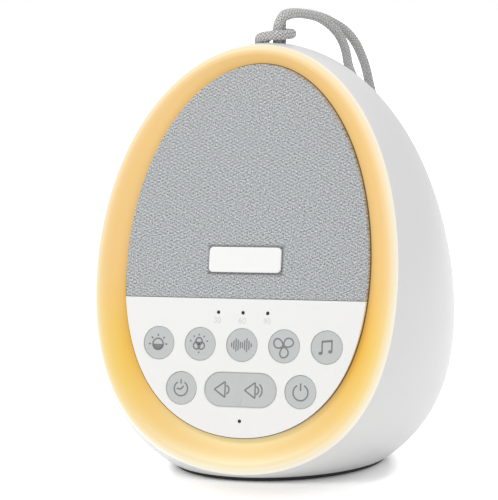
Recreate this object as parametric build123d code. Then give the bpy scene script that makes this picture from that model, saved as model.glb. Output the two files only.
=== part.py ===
"""White noise sound machine with an egg-shaped body, a lit ring round its leaning
front plate, a cloth-covered loudspeaker, nine key positions and a carrying strap.

Frame, in millimetres: +Z up, -Y out of the front, +X to the right of someone who
faces it. The origin is the centre of the round foot's underside, on the egg's axis.
An offset on the face counts from the front plate's surface, positive into the body.
"""
import functools
import math
import os

from build123d import *

os.makedirs("parts", exist_ok=True)

# ---------------------------------------------------------------- driving sizes
# Egg body, a shape of revolution about Z: x = radius, z = height
egg_radius = 62.4
egg_half_height = 78.1
egg_middle_height = 69.6
egg_taper = 0.148
egg_fullness = -0.135
egg_tip = 0.057
shell_wall = 2.2

# Foot and base
foot_height = 1.5
foot_radius = 37.4
base_plate_radius = 33.0
base_plate_thickness = 2.0
base_opening_radius = 28.0
base_ledge_thickness = 2.0
base_screw_circle = 30.5
base_screw_count = 4

# Face: an arc in the middle plane, crowned and leaning back
face_radius = 746.0
face_height = 75.0
face_setback = -25.8
face_lean = 13.84

# Front plate outline, seen from the front
plate_half_width = 44.8
plate_half_height = 63.0
plate_middle_height = 77.8
plate_taper = 0.087
plate_fullness = -0.078
plate_tip = 0.045
plate_thickness = 2.6
plate_gap = 0.2
panel_wall = 2.0
panel_top = 61.8
panel_joint = 0.1

# Light ring
rim_rise = 2.8
ring_wall = 2.0
lip_width = 2.4
lip_outer_radius = 1.3
lip_inner_radius = 0.7
ring_seat_width = 3.2
skirt_wall = 1.4
skirt_depth = 4.5
fit_gap = 0.15

# Front frame, which carries plate, ring, lights, loudspeaker and control board
frame_wall = 2.0
frame_flange_offset = 10.0
frame_clearance = 0.4
shell_ledge_thickness = 2.0
shell_ledge_width = 6.0
frame_screw_angles = (4, 176, 222, 318)
frame_screw_inset = 3.0

# Ring lights
strip_thickness = 0.5
strip_width = 5.0
strip_opening = 12.0
light_count = 24
light_span = 320
light_length = 3.5
light_width = 2.8
light_height = 1.4

# Keys
key_radius = 5.7
key_recess = 0.2
key_gap = 0.15
key_relief = 0.4
key_travel = 0.5
key_flange = 0.7
key_flange_thickness = 1.0
key_edge = 0.35
key_pitch = 15.5
upper_key_height = 46.3
lower_key_height = 31.2
lower_key_reach = 22.0
rocker_length = 26.3
rocker_width = 11.6
rocker_tilt = 2.2
rocker_gap = 0.35
rocker_switch_reach = 7.5
fulcrum_width = 1.2
fulcrum_length = 8.0
fulcrum_gap = 0.1

# Switches and control board
switch_size = 6.0
switch_height = 3.5
stem_radius = 1.75
stem_height = 0.8
stem_gap = 0.1
window_radius = 4.6
board_thickness = 1.6
board_standoff = 2.0
board_bottom = 17.0
board_top = 60.5
board_inset = 5.5

# Pinholes with light pipes
pinhole_radius = 0.65
pinhole_height = 57.2
pinhole_pitch = 9.1
low_pinhole_height = 20.7
pipe_gap = 0.05
pipe_body_radius = 1.1
pipe_window_radius = 1.4
lamp_size = 2.0
lamp_height = 1.0

# Name plate, left bare
badge_length = 26.5
badge_width = 8.7
badge_corner = 1.5
badge_height = 0.8
badge_middle_height = 74.85
badge_pin_reach = 9.0
badge_pin_radius = 0.8

# Grille and cloth
cloth_thickness = 0.5
grille_wall = 1.6
slot_width = 3.2
slot_pitch = 5.5
slot_margin = 8.5
slot_rib = 3.0
slot_bottom = 84.0
slot_top = 131.0

# Loudspeaker
driver_height = 97.0
driver_flange_radius = 29.0
driver_flange_thickness = 1.4
driver_opening_radius = 23.5
driver_screw_circle = 26.3
gasket_thickness = 0.8
gasket_width = 5.2
cone_radius = 19.4
cone_depth = 7.5
cone_wall = 0.6
cap_rise = 2.4
cap_wall = 0.5
coil_radius = 7.7
coil_wall = 0.35
coil_length = 9.5
surround_width = 3.3
surround_rise = 1.4
surround_gap = 0.5
basket_depth = 15.0
basket_wall = 1.0
magnet_radius = 16.0
magnet_thickness = 6.5
yoke_thickness = 2.4
pole_radius = 7.0
pole_gap = 1.6
magnet_bore = 11.5

# Battery and charging board
battery_length = 44.0
battery_width = 30.0
battery_height = 9.0
battery_rounding = 3.0
tray_wall = 1.2
tray_rise = 3.0
tray_gap = 0.2
socket_width = 8.9
socket_height = 3.2
socket_depth = 7.3
socket_wall = 0.35
socket_tongue = 0.7
socket_gap = 0.25
socket_level = 19.0
charge_board_width = 20.0
charge_board_depth = 20.0
charge_post_radius = 2.4

# Screws
screw_radius = 1.1
screw_head_radius = 2.1
screw_head_height = 1.3
boss_radius = 2.4
screw_clearance = 0.15
boss_length = 6.0

# Strap and its pocket in the crown
strap_radius = 1.75
strap_setback = 5.0
strand_pitch = 3.7
strand_end = 151.0
pocket_length = 16.0
pocket_width = 9.0
pocket_depth = 8.8
pocket_wall = 1.4
pocket_clearance = 0.4
pin_radius = 1.6
pin_depth = 1.7
pin_gap = 0.15

reach = 200.0


# ---------------------------------------------------------------- forms
def swell(s, taper, fullness, tip):
    """Half width of an egg outline as a share of its widest, s from -1 foot to 1 crown."""
    return math.sqrt(max(1 - s * s, 0)) * (1 - taper * s - fullness * s ** 2 - tip * s ** 3)


def egg_reach(z, wall=0.0):
    """Radius of the body, or of its inside when wall is given, at the height z."""
    s = (z - egg_middle_height) / (egg_half_height - wall)
    return (egg_radius - wall) * swell(s, egg_taper, egg_fullness, egg_tip) if abs(s) < 1 else 0.0


def egg(wall=0.0, floor=foot_height):
    """The body as a solid of revolution, less a wall, standing on a flat floor."""
    half = egg_half_height - wall
    low = math.asin((floor - egg_middle_height) / half)
    steps = 14
    right = [(egg_reach(egg_middle_height + half * math.sin(a), wall), egg_middle_height + half * math.sin(a))
             for a in (low + (math.pi / 2 - low) * i / steps for i in range(steps))]
    left = [(-x, z) for x, z in reversed(right)]
    with BuildPart() as body:
        with BuildSketch(Plane.XZ):
            with BuildLine():
                Spline(*right, (0, egg_middle_height + half), *left)
                Line(left[-1], right[0])
            make_face()
            with Locations((-reach / 2, 0)):
                Rectangle(reach, 2 * reach, mode=Mode.SUBTRACT)
        revolve(axis=Axis.Z)
    return body.part


lean = math.radians(face_lean)
face_centre = (face_setback + face_radius * math.cos(lean), face_height - face_radius * math.sin(lean))


def face_y(z, offset=0.0):
    """Depth of the face, or of the surface an offset behind it, at the height z."""
    return face_centre[0] - math.sqrt((face_radius - offset) ** 2 - (z - face_centre[1]) ** 2)


def face_plane(x, z, offset=0.0):
    """Plane square to the face at (x, z), its Z outward and its Y up the face."""
    tilt = math.asin((z - face_centre[1]) / face_radius)
    outward = Vector(0, -math.cos(tilt), math.sin(tilt))
    return Plane(origin=Vector(x, face_y(z), z) - outward * offset, x_dir=(1, 0, 0), z_dir=outward)


def face_arc(offset, low, high):
    middle = (low + high) / 2
    return ThreePointArc(*[(face_y(z, offset), z) for z in (low, middle, high)])


@functools.cache
def behind(offset):
    """All space behind the face surface at an offset."""
    low, high = -40.0, 200.0
    with BuildPart() as space:
        with BuildSketch(Plane.YZ):
            with BuildLine():
                face_arc(offset, low, high)
                Polyline((face_y(high, offset), high), (reach, high), (reach, low),
                         (face_y(low, offset), low))
            make_face()
        extrude(amount=reach / 2, both=True)
    return space.part


@functools.cache
def slab(near, far):
    """Curved slab between two offsets from the face."""
    low, high = -20.0, 165.0
    with BuildPart() as layer:
        with BuildSketch(Plane.YZ):
            with BuildLine():
                face_arc(near, low, high)
                Line((face_y(high, near), high), (face_y(high, far), high))
                face_arc(far, low, high)
                Line((face_y(low, near), low), (face_y(low, far), low))
            make_face()
        extrude(amount=reach / 2, both=True)
    return layer.part


def above(z):
    """All space above a height."""
    return Pos(0, 0, z) * Box(reach, reach, reach, align=(Align.CENTER, Align.CENTER, Align.MIN))


def plate_point(angle, inset=0.0):
    """Point (x, z) of the front plate's egg outline."""
    s = math.sin(angle)
    swelling = 1 - plate_taper * s - plate_fullness * s ** 2 - plate_tip * s ** 3
    return ((plate_half_width - inset) * math.cos(angle) * swelling,
            plate_middle_height + (plate_half_height - inset) * s)


def prism(points):
    """Prism along Y through a closed smooth outline of (x, z) points."""
    with BuildPart() as body:
        with BuildSketch(Plane.XZ):
            with BuildLine():
                Spline(*points, periodic=True)
            make_face()
        extrude(amount=reach / 2, both=True)
    return body.part


outline_angles = [math.tau * i / 24 for i in range(24)]


@functools.cache
def plate_prism(inset=0.0):
    return prism([plate_point(a, inset) for a in outline_angles])


def rim_reach(angle, offset):
    """Distance from the plate's middle at which the body's surface meets a face surface."""
    low, high = 1.0, 120.0
    for _ in range(40):
        middle = (low + high) / 2
        x, z = middle * math.cos(angle), plate_middle_height + middle * math.sin(angle)
        if math.hypot(x, face_y(z, offset)) < egg_reach(z):
            low = middle
        else:
            high = middle
    return low


def rim_point(angle, offset, inset):
    """Point (x, z) inside the body's front rim by an inset."""
    distance = rim_reach(angle, offset) - inset
    return (distance * math.cos(angle), plate_middle_height + distance * math.sin(angle))


def rim_prism(inset):
    return prism([rim_point(a, -rim_rise + ring_wall, inset) for a in outline_angles])


def dish():
    """Cone-like cutter that runs from the plate's foot out and forward to the ring's lip."""
    middle = face_plane(0, plate_middle_height)
    levels = {"front": 7.0, "back": -plate_thickness - 5.0}
    loops = {name: [] for name in levels}
    for angle in outline_angles:
        x, z = plate_point(angle)
        inner = middle.to_local_coords(Vector(x, face_y(z, plate_thickness), z))
        bearing = math.atan2(z - plate_middle_height, x)
        rim_x, rim_z = rim_point(bearing, -rim_rise, lip_width)
        outer = middle.to_local_coords(Vector(rim_x, face_y(rim_z, -rim_rise), rim_z))
        for name, level in levels.items():
            point = inner + (outer - inner) * ((level - inner.Z) / (outer.Z - inner.Z))
            loops[name].append((point.X, point.Y))
    with BuildPart() as cutter:
        for name in ("back", "front"):
            with BuildSketch(middle.offset(levels[name])):
                with BuildLine():
                    Spline(*loops[name], periodic=True)
                make_face()
        loft(ruled=True)
    return cutter.part


def peg(x, z, radius, near, far, plane=None):
    """Round peg square to the face, or to a given plane, between two offsets."""
    base = (plane or face_plane(x, z)).offset(-far)
    return extrude(base * Circle(radius), amount=far - near)


def screw(plane, length):
    """Pan-head screw: head on the plane, shank against the plane's Z."""
    head = extrude(plane * Circle(screw_head_radius), amount=screw_head_height)
    head = fillet(head.edges().group_by(Axis(plane.origin, plane.z_dir))[-1], 0.45)
    shank = extrude(plane * Circle(screw_radius), amount=-length)
    slot = extrude(plane.offset(screw_head_height) * Rectangle(2.4, 0.6), amount=-0.6)
    cross = extrude(plane.offset(screw_head_height) * Rectangle(0.6, 2.4), amount=-0.6)
    return head + shank - slot - cross


def facing_back(plane):
    """The same place, with the plane's Z turned round."""
    return Plane(origin=plane.origin, x_dir=plane.x_dir, z_dir=plane.z_dir * -1)


def save(name, *solids):
    """Write one node, as one solid or as a group of separate ones."""
    shape = solids[0] if len(solids) == 1 else Compound(children=list(solids))
    shape.label = name
    export_step(shape, f"parts/{name}.step")


# ---------------------------------------------------------------- places
plate_back = plate_thickness
frame_front = plate_back + ring_wall
frame_back = frame_front + frame_wall
flange_back = frame_flange_offset + frame_wall
seat_offset = -rim_rise + ring_wall

# Keys, switches and board share one plane, square to the face at the keys' middle
key_middle = (upper_key_height + lower_key_height) / 2
key_plane = face_plane(0, key_middle)
key_spots = {
    "light_key": (-2 * key_pitch, upper_key_height),
    "colour_key": (-key_pitch, upper_key_height),
    "noise_key": (0, upper_key_height),
    "fan_key": (key_pitch, upper_key_height),
    "music_key": (2 * key_pitch, upper_key_height),
    "timer_key": (-lower_key_reach, lower_key_height),
    "power_key": (lower_key_reach, lower_key_height),
}
rocker_spots = [(-rocker_switch_reach, lower_key_height), (rocker_switch_reach, lower_key_height)]
pinhole_spots = [(i * pinhole_pitch, pinhole_height) for i in (-1, 0, 1)] + [(0, low_pinhole_height)]
panel_screw_spots = [(-24, 56.5), (24, 56.5), (-7.5, 21.3), (7.5, 21.3)]
grille_screw_spots = [(-33, 75), (33, 75), (-20, 125), (20, 125)]
board_screw_spots = [(-23, 39.5), (23, 39.5), (-7.7, 52.6), (7.7, 52.6)]


def on_keys(x, z, offset=0.0):
    """Plane parallel to the keys' plane, through the face at (x, z), an offset behind it."""
    rise = (z - key_middle) / math.cos(math.asin((key_middle - face_centre[1]) / face_radius))
    sag = face_radius - math.sqrt(face_radius ** 2 - rise ** 2)
    point = key_plane.from_local_coords(Vector(x, rise, -offset - sag))
    return Plane(origin=point, x_dir=key_plane.x_dir, z_dir=key_plane.z_dir)


def key_peg(x, z, radius, near, far):
    return extrude(on_keys(x, z, far) * Circle(radius), amount=far - near)


board_front = frame_back + board_standoff


def on_board(x, z, height):
    """Plane at a height above the board's front, below the point (x, z) of the face."""
    spot = key_plane.to_local_coords(on_keys(x, z).origin)
    point = key_plane.from_local_coords(Vector(spot.X, spot.Y, -board_front + height))
    return Plane(origin=point, x_dir=key_plane.x_dir, z_dir=key_plane.z_dir)


stem_top = board_front - switch_height - stem_height
hub_end = stem_top - stem_gap - key_travel
flange_front = panel_wall + 0.1
flange_end = flange_front + key_flange_thickness

# ---------------------------------------------------------------- rear shell
base_top = foot_height + base_plate_thickness
inside_floor = base_top + base_ledge_thickness
body = egg()
wall_middle = egg(shell_wall / 2, foot_height + 1)
shell = (body - egg(shell_wall, inside_floor)) & behind(seat_offset)

# Ledge that the front frame sits on
ledge = wall_middle & slab(flange_back, flange_back + shell_ledge_thickness)
ledge -= rim_prism(shell_wall + frame_clearance + shell_ledge_width)

# Cup in the crown for the strap, with a pin across it
pocket_top = egg_middle_height + egg_half_height
pocket_floor = pocket_top - pocket_depth
pocket = Plane((0, strap_setback, pocket_floor)) * SlotOverall(pocket_length, pocket_width)
cup_outline = SlotOverall(pocket_length + 2 * pocket_wall, pocket_width + 2 * pocket_wall)
cup_base = Plane((0, strap_setback, pocket_floor - pocket_wall))
cup = extrude(cup_base * cup_outline, amount=pocket_depth) & wall_middle
pin_z = pocket_top - pin_depth - pin_radius
pin_length = pocket_width + 2 * pocket_wall - 0.6
pin_bar = Plane((0, strap_setback - pin_length / 2, pin_z), x_dir=(1, 0, 0), z_dir=(0, 1, 0))

# Charging socket's port in the lower back, and posts under its board
board_under = socket_level - socket_height / 2 - board_thickness
port_plane = Plane((0, egg_reach(socket_level) - 12, socket_level), x_dir=(1, 0, 0), z_dir=(0, 1, 0))
port = RectangleRounded(socket_width + 2 * socket_gap, socket_height + 2 * socket_gap,
                        socket_height / 2 + socket_gap - 0.05)
socket_mouth = egg_reach(socket_level - socket_height / 2) - 0.9
charge_board_back = math.sqrt(egg_reach(board_under, shell_wall) ** 2 - charge_board_width ** 2 / 4) - 0.4
charge_board_front = charge_board_back - charge_board_depth
charge_posts = [(side * (charge_board_width / 2 - charge_post_radius),
                 charge_board_front + charge_post_radius + 1) for side in (-1, 1)]
charge_posts += [(x, y + charge_board_depth / 2) for x, y in charge_posts]
posts = [extrude(Plane((x, y, 0)) * Circle(charge_post_radius), amount=board_under) & wall_middle
         for x, y in charge_posts]

# Screw bosses round the base opening and behind the ledge
base_screws = [(base_screw_circle * math.cos(a), base_screw_circle * math.sin(a))
               for a in (math.tau * (i + 0.5) / base_screw_count for i in range(base_screw_count))]
base_bosses = [extrude(Plane((x, y, base_top + 0.5)) * Circle(boss_radius),
                       amount=base_ledge_thickness - 0.5 + boss_length) for x, y in base_screws]
frame_screw_reach = shell_wall + frame_clearance + frame_screw_inset
frame_screw_spots = [rim_point(math.radians(angle), seat_offset, frame_screw_reach)
                     for angle in frame_screw_angles]
frame_bosses = [peg(x, z, boss_radius, flange_back + 0.5, flange_back + boss_length) & wall_middle
                for x, z in frame_screw_spots]

shell = shell + [ledge, cup, *posts]
shell -= extrude(Plane.XY * Circle(base_opening_radius), amount=2 * inside_floor)
shell = shell + [*base_bosses, *frame_bosses]
shell = shell - [
    extrude(Plane.XY.offset(foot_height) * Circle(base_plate_radius + fit_gap), amount=base_plate_thickness),
    extrude(pocket, amount=2 * pocket_depth),
    extrude(pin_bar * Circle(pin_radius + 0.01), amount=pin_length),
    extrude(port_plane * port, amount=20),
    *[extrude(Plane((x, y, base_top)) * Circle(screw_radius + 0.02), amount=boss_length + 1)
      for x, y in base_screws],
    *[peg(x, z, screw_radius + 0.02, flange_back - 1, flange_back + boss_length - 1)
      for x, z in frame_screw_spots],
    *[extrude(Plane((x, y, board_under)) * Circle(screw_radius + 0.02), amount=-5) for x, y in charge_posts]]
save("rear_shell", shell)

# ---------------------------------------------------------------- base plate, foot
base_plate = extrude(Plane.XY.offset(foot_height) * Circle(base_plate_radius), amount=base_plate_thickness)
tray_inner = RectangleRounded(battery_length + 2 * tray_gap, battery_width + 2 * tray_gap,
                              battery_rounding + tray_gap)
tray_outer = RectangleRounded(battery_length + 2 * (tray_gap + tray_wall),
                              battery_width + 2 * (tray_gap + tray_wall), battery_rounding + tray_gap + tray_wall)
tray = extrude(Plane.XY.offset(base_top) * (tray_outer - tray_inner), amount=tray_rise)
tray -= extrude(Plane.XY.offset(base_top) * Rectangle(battery_length / 2, 2 * battery_width),
                amount=tray_rise)
base_plate += tray & extrude(Plane.XY * Circle(base_opening_radius - 0.5), amount=reach)
base_plate = base_plate - [
    extrude(Plane((x, y, foot_height)) * Circle(radius), amount=depth) for x, y in base_screws
    for radius, depth in ((screw_head_radius + screw_clearance, screw_head_height),
                          (screw_radius + screw_clearance, base_plate_thickness))]
save("base_plate", base_plate)

battery = extrude(Plane.XY.offset(base_top) * Rectangle(battery_length, battery_width), amount=battery_height)
battery = fillet(battery.edges().filter_by(Axis.Z), battery_rounding)
battery = fillet(battery.edges().group_by(Axis.Z)[-1], 0.8)
save("battery_pack", battery)

foot = extrude(Plane.XY * Circle(foot_radius), amount=foot_height)
foot = fillet(foot.edges().group_by(Axis.Z)[0], 0.4)
save("foot_pad", foot)

save("base_screws", *[screw(Plane((x, y, foot_height + screw_head_height), x_dir=(1, 0, 0), z_dir=(0, 0, -1)),
                            boss_length) for x, y in base_screws])

# ---------------------------------------------------------------- light ring
dish_form = dish()
front_form = (body & behind(-rim_rise)) - (dish_form - behind(plate_back))
lip = front_form.faces().filter_by(GeomType.CYLINDER).sort_by(Axis.Y)[0]
front_form = fillet(lip.edges().sort_by(SortBy.LENGTH)[-1], lip_outer_radius)
lip = front_form.faces().filter_by(GeomType.CYLINDER).sort_by(Axis.Y)[0]
front_form = fillet(lip.edges().sort_by(SortBy.LENGTH)[0], lip_inner_radius)
dish_shift = face_plane(0, plate_middle_height).z_dir * -ring_wall
back_dish = dish_form.moved(Location(dish_shift)) - behind(plate_back + ring_wall)
back_form = (body & behind(seat_offset)) - back_dish
ring = front_form - back_form - plate_prism(ring_seat_width)
skirt_floor = inside_floor + fit_gap
skirt = egg(shell_wall + fit_gap, skirt_floor) - egg(shell_wall + fit_gap + skirt_wall, skirt_floor)
skirt_band = skirt & slab(seat_offset - 0.5, seat_offset + skirt_depth)
ring += skirt_band - dish_form.moved(Location(dish_shift * 0.5))
key_reliefs = [key_peg(x, z, key_radius + key_flange + key_relief, panel_wall, frame_front + 1)
               for x, z in key_spots.values()]
boss_reliefs = [peg(x, z, boss_radius + key_relief, plate_back - 1, frame_front + 1)
                for x, z in panel_screw_spots[2:]]
ring = ring - [*[key_reliefs[i] for i in (0, 4, 5, 6)], *boss_reliefs]
save("light_ring", ring)

# ---------------------------------------------------------------- front frame
hat = plate_prism(fit_gap)
frame = (hat & slab(frame_front, flange_back)) - (plate_prism(frame_wall + fit_gap) & behind(frame_back))
flange = rim_prism(shell_wall + frame_clearance) & slab(frame_flange_offset, flange_back)
frame += (flange - plate_prism(frame_wall)) & above(inside_floor + frame_clearance)

# Flat seat for the loudspeaker, pads for the board's screws, ridge that the volume rocker tips on
driver_plane = face_plane(0, driver_height)
driver_seat = frame_back + 1.0
fulcrum_top = flange_end + fulcrum_gap
fulcrum = extrude(on_keys(0, lower_key_height, frame_front + 0.5) * Rectangle(fulcrum_width, fulcrum_length),
                  amount=frame_front + 0.5 - fulcrum_top)
pads = [extrude(on_board(x, z, 0) * Circle(boss_radius), amount=board_standoff + 0.5)
        for x, z in board_screw_spots]
driver_pad = peg(0, driver_height, driver_flange_radius + 1, frame_front + 0.8, driver_seat)
frame = frame + [driver_pad, fulcrum, *pads]

# Openings: loudspeaker, switches, light pipes, screws and the strap's cup
driver_screw_planes = []
for degrees in (45, 135, 225, 315):
    turn = math.radians(degrees)
    spot = driver_plane.from_local_coords(Vector(driver_screw_circle * math.cos(turn),
                                                 driver_screw_circle * math.sin(turn), 0))
    driver_screw_planes.append(Plane(origin=spot, x_dir=(1, 0, 0), z_dir=driver_plane.z_dir))
cup_room = Plane((0, strap_setback, pocket_floor - pocket_wall - pocket_clearance)) * SlotOverall(
    pocket_length + 2 * (pocket_wall + pocket_clearance), pocket_width + 2 * (pocket_wall + pocket_clearance))
frame_screw_planes = [face_plane(x, z, frame_flange_offset) for x, z in frame_screw_spots]
frame = frame - [
    peg(0, driver_height, driver_opening_radius, 0, flange_back),
    *[key_peg(x, z, window_radius, 0, flange_back) for x, z in list(key_spots.values()) + rocker_spots],
    *[key_peg(x, z, pipe_window_radius, 0, flange_back) for x, z in pinhole_spots],
    *[key_peg(x, z, screw_radius + 0.02, frame_front + 0.5, flange_back) for x, z in board_screw_spots],
    *[peg(x, z, screw_radius + screw_clearance, 0, flange_back)
      for x, z in panel_screw_spots + grille_screw_spots],
    *[extrude(plane.offset(-driver_seat) * Circle(screw_radius + 0.02), amount=2.2)
      for plane in driver_screw_planes],
    *[extrude(plane.offset(1) * Circle(screw_radius + screw_clearance), amount=-frame_wall - 2)
      for plane in frame_screw_planes],
    extrude(cup_room, amount=reach / 4)]
save("front_frame", frame)
save("frame_screws", *[screw(plane, frame_wall + boss_length - 1.5) for plane in frame_screw_planes])

# ---------------------------------------------------------------- ring lights
strip = (plate_prism(fit_gap - strip_thickness) - hat)
strip &= slab(frame_flange_offset - strip_width - 0.2, frame_flange_offset - 0.2)
strip -= Pos(0, 0, reach / 2) * Box(2 * strip_opening, reach, reach,
                                    align=(Align.CENTER, Align.CENTER, Align.MIN))
save("light_strip", strip)

lights = []
for i in range(light_count):
    angle = math.radians(90 + (360 - light_span) / 2 + light_span * i / (light_count - 1))
    x, z = plate_point(angle, fit_gap - strip_thickness)
    ahead_x, ahead_z = plate_point(angle + 0.01, fit_gap - strip_thickness)
    run = Vector(ahead_x - x, 0, ahead_z - z).normalized()
    away = Vector(-run.Z, 0, run.X) * -1
    depth = face_y(z, frame_flange_offset - 0.2 - strip_width / 2)
    spot = Plane(origin=Vector(x, depth, z) + away * 0.02, x_dir=run, z_dir=away)
    lights.append(extrude(spot * Rectangle(light_length, light_width), amount=light_height))
save("ring_lights", *lights)

# ---------------------------------------------------------------- control panel
plate = plate_prism(plate_gap)

panel = (plate & slab(0, plate_back)) - above(panel_top - panel_joint / 2)
panel -= (plate_prism(ring_seat_width) & slab(panel_wall, plate_back)) - above(panel_top - 1.5)
panel = panel + [peg(x, z, boss_radius, panel_wall - 0.3, frame_front) for x, z in panel_screw_spots]
pill_hole = SlotOverall(rocker_length + 2 * rocker_gap, rocker_width + 2 * rocker_gap)
panel = panel - [
    extrude(on_keys(0, lower_key_height, plate_back + 1) * pill_hole, amount=plate_back + 3),
    *[key_peg(x, z, key_radius + key_gap, -2, flange_back) for x, z in key_spots.values()],
    *key_reliefs,
    *[key_peg(x, z, pinhole_radius, -2, flange_back) for x, z in pinhole_spots],
    *[peg(x, z, screw_radius + 0.02, 1.0, frame_front + 1) for x, z in panel_screw_spots]]
save("control_panel", panel)

# ---------------------------------------------------------------- grille and cloth
above_joint = above(panel_top + panel_joint / 2)
grille_form = plate_prism(plate_gap + cloth_thickness)
grille = grille_form & slab(cloth_thickness, plate_back)
grille &= above(panel_top + panel_joint / 2 + cloth_thickness)
grille_hollow = plate_prism(ring_seat_width) & slab(cloth_thickness + grille_wall, plate_back)
grille -= grille_hollow & above(panel_top + 2)
grille_slots = []
for row in range(int((slot_top - slot_bottom) / slot_pitch) + 1):
    z = slot_bottom + row * slot_pitch
    s = (z - plate_middle_height) / plate_half_height
    length = plate_half_width * swell(s, plate_taper, plate_fullness, plate_tip) - slot_margin - slot_rib / 2
    grille_slots += [extrude(face_plane(side * (slot_rib + length) / 2, z, plate_back + 1)
                             * SlotOverall(length, slot_width), amount=plate_back + 2) for side in (-1, 1)]
badge_pin_spots = [(side * badge_pin_reach, badge_middle_height) for side in (-1, 1)]
badge_holes = [peg(x, z, badge_pin_radius + 0.05, -2, plate_back + 1) for x, z in badge_pin_spots]
grille = grille - [*grille_slots, *badge_holes]
grille = grille + [peg(x, z, boss_radius, cloth_thickness + 0.8, frame_front) for x, z in grille_screw_spots]
grille = grille - [peg(x, z, screw_radius + 0.02, cloth_thickness + 0.8, frame_front + 1)
                   for x, z in grille_screw_spots]
save("speaker_grille", grille)

cloth = ((plate & slab(0, plate_back)) & above_joint) - (
    (grille_form & behind(cloth_thickness)) & above(panel_top + panel_joint / 2 + cloth_thickness))
cloth = cloth - badge_holes
save("speaker_cloth", cloth)

badge_plane = face_plane(0, badge_middle_height)
badge = extrude(badge_plane * RectangleRounded(badge_length, badge_width, badge_corner), amount=badge_height)
badge = fillet(badge.edges().group_by(Axis(badge_plane.origin, badge_plane.z_dir))[-1], 0.25)
for x, z in badge_pin_spots:
    badge += peg(x, z, badge_pin_radius, -0.3, cloth_thickness + 1.2, Plane(
        origin=badge_plane.from_local_coords(Vector(x, 0, 0)), x_dir=(1, 0, 0), z_dir=badge_plane.z_dir))
save("name_plate", badge)

save("plate_screws", *[screw(facing_back(face_plane(x, z, frame_back + 0.01)), frame_wall + 2.4)
                       for x, z in panel_screw_spots + grille_screw_spots])

# ---------------------------------------------------------------- keys
for name, (x, z) in key_spots.items():
    cap = key_peg(x, z, key_radius, key_recess, flange_end)
    top_edges = cap.edges().group_by(Axis(key_plane.origin, key_plane.z_dir))[-1]
    cap = fillet(top_edges, key_edge)
    cap += key_peg(x, z, key_radius + key_flange, flange_front, flange_end)
    cap += key_peg(x, z, stem_radius, flange_end - 0.5, hub_end)
    save(name, cap)

rocker_hub_end = hub_end + key_travel - rocker_switch_reach * math.tan(math.radians(rocker_tilt))
rocker = extrude(on_keys(0, lower_key_height, flange_end) * SlotOverall(rocker_length, rocker_width),
                 amount=flange_end - key_recess)
rocker = fillet(rocker.edges().group_by(Axis(key_plane.origin, key_plane.z_dir))[-1], key_edge)
rocker_flange = SlotOverall(rocker_length + 2 * key_flange, rocker_width + 2 * key_flange)
tilt_room = rocker_length / 2 * math.tan(math.radians(rocker_tilt))
rocker += extrude(on_keys(0, lower_key_height, flange_end) * rocker_flange,
                  amount=key_flange_thickness - tilt_room)
rocker -= extrude(on_keys(0, lower_key_height, key_recess + 0.3) * Rectangle(0.5, 0.8 * rocker_width),
                  amount=1)
for x, z in rocker_spots:
    rocker += key_peg(x, z, stem_radius, flange_end - 0.5, rocker_hub_end)
save("volume_rocker", rocker)

# ---------------------------------------------------------------- board, switches, pipes
board = extrude(on_board(0, key_middle, -board_thickness) * Rectangle(reach, reach), amount=board_thickness)
board = ((board & plate_prism(board_inset)) & above(board_bottom)) - above(board_top)
board = board - [key_peg(x, z, screw_radius + screw_clearance, 0, board_front + 3)
                 for x, z in board_screw_spots]
save("control_board", board)
save("board_screws", *[screw(facing_back(on_board(x, z, -board_thickness - 0.01)),
                             board_thickness + board_standoff + 0.6) for x, z in board_screw_spots])

switches = []
for x, z in list(key_spots.values()) + rocker_spots:
    case = extrude(on_board(x, z, 0) * Rectangle(switch_size, switch_size), amount=switch_height)
    stem = extrude(on_board(x, z, switch_height) * Circle(stem_radius), amount=stem_height)
    switches.append(case + stem)
save("key_switches", *switches)

lamps, pipes = [], []
for x, z in pinhole_spots:
    lamp_plane = on_board(x, z, 0)
    lamps.append(extrude(lamp_plane * Rectangle(lamp_size, lamp_size * 0.7), amount=lamp_height))
    thin = key_peg(x, z, pinhole_radius - pipe_gap, 0.1, panel_wall + 0.6)
    foot_level = board_front - lamp_height - 0.1 - (on_board(x, z, board_front).origin
                                                    - on_keys(x, z).origin).dot(key_plane.z_dir)
    pipes.append(thin + key_peg(x, z, pipe_body_radius, panel_wall + 0.05, foot_level))
save("status_lamps", *lamps)
save("light_pipes", *pipes)

# ---------------------------------------------------------------- loudspeaker
def turned(points, plane):
    """Solid of revolution about a plane's Z from (radius, height) points."""
    profile = Plane(origin=plane.origin, x_dir=plane.x_dir, z_dir=plane.y_dir * -1)
    face = profile * make_face(Polyline(*points, close=True))
    return revolve(face, Axis(plane.origin, plane.z_dir))


seat = driver_seat
gasket_back = seat + gasket_thickness
gasket_outer = driver_flange_radius
gasket_inner = gasket_outer - gasket_width
gasket = turned([(gasket_inner, -seat), (gasket_outer, -seat), (gasket_outer, -gasket_back),
                 (gasket_inner, -gasket_back)], driver_plane)
driver_screw_holes = [extrude(plane * Circle(screw_radius + screw_clearance), amount=-reach / 2)
                      for plane in driver_screw_planes]
gasket = gasket - driver_screw_holes
save("speaker_gasket", gasket)

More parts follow.
